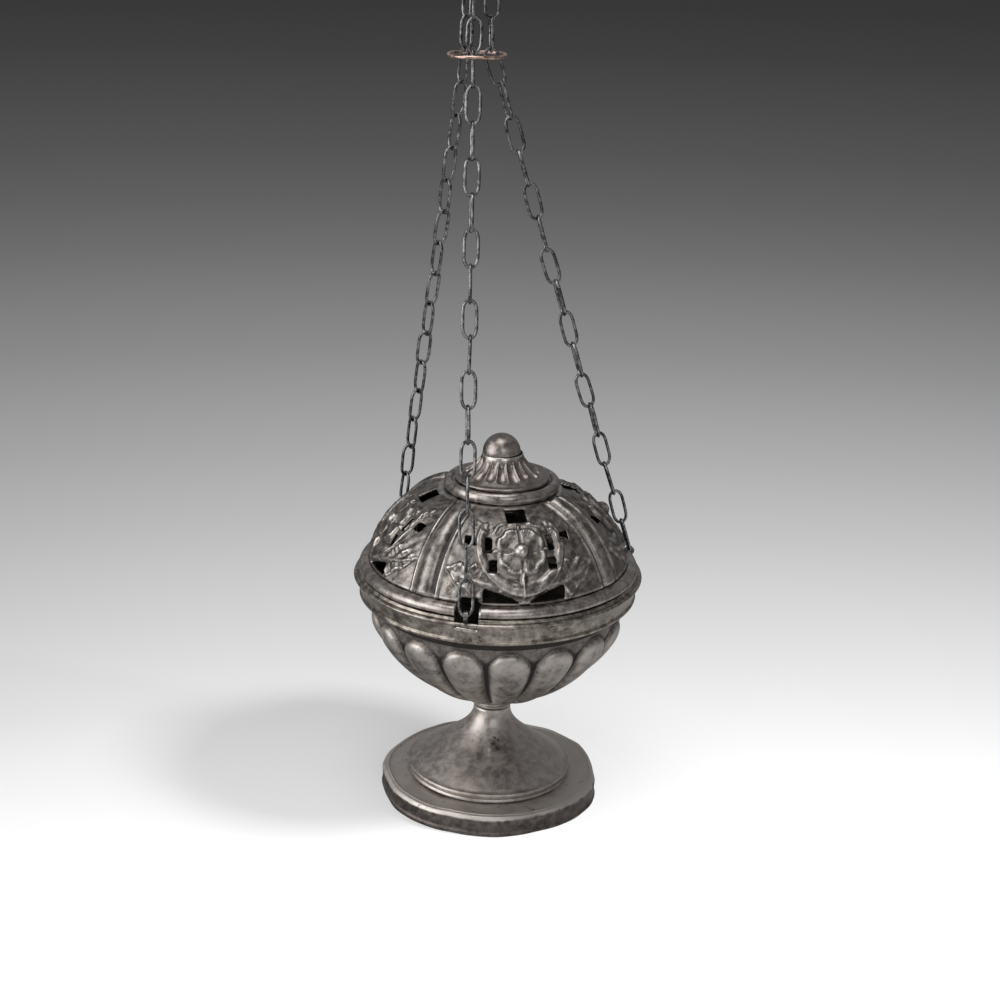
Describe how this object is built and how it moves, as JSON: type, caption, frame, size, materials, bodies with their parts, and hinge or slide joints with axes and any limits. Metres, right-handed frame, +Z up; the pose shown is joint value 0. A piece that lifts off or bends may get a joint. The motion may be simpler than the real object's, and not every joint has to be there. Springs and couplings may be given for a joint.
{
  "type": "censer",
  "caption": "Silver hanging censer with a gadrooned bowl on a spreading foot, a pierced domed lid under a fluted cap and ball, and chains gathered at a ring.",
  "frame": {"origin": "centre of the foot's underside, where the vessel stands", "axes": "+Z up along the vessel's axis, -Y towards the viewer's side, +X to the viewer's right"},
  "size_m": [0.1106, 0.1106, 0.3546],
  "materials": {
    "body_silver": "tarnished silver, worn bright on the crests",
    "rim_silver": "worn silver with brown and black tarnish",
    "fittings": "dark tarnished silver",
    "chain_wire": "dark drawn silver wire, bright where the links rub",
    "ring_brass": "pinkish brass wire",
    "pan_iron": "sooted iron"
  },
  "bodies": {
    "vessel": {"foot_base": "body_silver", "foot_cone": "body_silver", "neck_collar": "rim_silver", "foot_screw": "fittings", "foot_washer": "fittings", "foot_nut": "fittings", "bowl": "body_silver", "rim_band": "rim_silver", "chain_lug_front": "fittings", "chain_lug_right": "fittings", "chain_lug_left": "fittings"},
    "lid": {"lid_moulding_right": "rim_silver", "lid_moulding_back": "rim_silver", "lid_moulding_left": "rim_silver", "lid_dome": "body_silver", "crown_ring": "body_silver", "fluted_cap": "body_silver", "finial_ball": "body_silver", "crown_washer": "fittings", "crown_nut": "fittings"},
    "pan": {"fire_pan": "pan_iron"},
    "front_lower_run": {"chain_front_lower": "chain_wire"},
    "front_middle_run": {"chain_front_middle": "chain_wire"},
    "right_lower_run": {"chain_right_lower": "chain_wire"},
    "right_middle_run": {"chain_right_middle": "chain_wire"},
    "left_lower_run": {"chain_left_lower": "chain_wire"},
    "left_middle_run": {"chain_left_middle": "chain_wire"},
    "chain_head": {"chain_front_upper": "chain_wire", "chain_right_upper": "chain_wire", "chain_left_upper": "chain_wire", "plate_eye_front": "fittings", "plate_eye_right": "fittings", "plate_eye_left": "fittings", "top_plate": "body_silver", "top_loop": "fittings"},
    "gathering_ring": {"gather_ring": "ring_brass"},
    "top_ring": {"hanging_ring": "chain_wire"}
  },
  "joints": [
    {"name": "lid_lift", "type": "slide", "parent": "vessel", "child": "lid", "axis": [0, 0, 1], "range_m": [0, 0.016]},
    {"name": "pan_lift", "type": "slide", "parent": "vessel", "child": "pan", "axis": [0, 0, 1], "range_m": [0, 0.016]},
    {"name": "front_chain_swing", "type": "hinge", "parent": "vessel", "child": "front_lower_run", "pos_m": [-0.01127, -0.05302, 0.09535], "axis": [0.9996, 0.0279, 0], "range_deg": [0, 16.74]},
    {"name": "front_chain_bend", "type": "hinge", "parent": "front_lower_run", "child": "front_middle_run", "pos_m": [-0.0116, -0.0411, 0.14335], "axis": [-0.9996, -0.0279, 0], "range_deg": [0, 22.74]},
    {"name": "right_chain_swing", "type": "hinge", "parent": "vessel", "child": "right_lower_run", "pos_m": [0.05155, 0.01675, 0.09535], "axis": [-0.2521, 0.9677, 0], "range_deg": [0, 20.74]},
    {"name": "right_chain_bend", "type": "hinge", "parent": "right_lower_run", "child": "right_middle_run", "pos_m": [0.03709, 0.01298, 0.14335], "axis": [0.2521, -0.9677, 0], "range_deg": [0, 28.04]},
    {"name": "left_chain_swing", "type": "hinge", "parent": "vessel", "child": "left_lower_run", "pos_m": [-0.04028, 0.03627, 0.09535], "axis": [-0.7965, -0.6047, 0], "range_deg": [0, 14.45]},
    {"name": "left_chain_bend", "type": "hinge", "parent": "left_lower_run", "child": "left_middle_run", "pos_m": [-0.03409, 0.02812, 0.14335], "axis": [0.7965, 0.6047, 0], "range_deg": [0, 19.67]},
    {"name": "chain_head_drop", "type": "slide", "parent": "vessel", "child": "chain_head", "axis": [0, 0, -1], "range_m": [0, 0.00481]},
    {"name": "gather_ring_slide", "type": "slide", "parent": "vessel", "child": "gathering_ring", "axis": [0, 0, 1], "range_m": [0, 0.031]},
    {"name": "hanging_ring_tilt", "type": "hinge", "parent": "chain_head", "child": "top_ring", "pos_m": [-0.0115, 0, 0.3295], "axis": [0, 1, 0], "range_deg": [-70, 70]}
  ],
  "couplings": [
    {"joint": "front_chain_swing", "follows": "lid_lift", "rad_per_m": 18.259},
    {"joint": "front_chain_bend", "follows": "lid_lift", "rad_per_m": 24.806},
    {"joint": "right_chain_swing", "follows": "lid_lift", "rad_per_m": 22.624},
    {"joint": "right_chain_bend", "follows": "lid_lift", "rad_per_m": 30.584},
    {"joint": "left_chain_swing", "follows": "lid_lift", "rad_per_m": 15.757},
    {"joint": "left_chain_bend", "follows": "lid_lift", "rad_per_m": 21.459},
    {"joint": "chain_head_drop", "follows": "lid_lift", "ratio": 0.3}
  ]
}
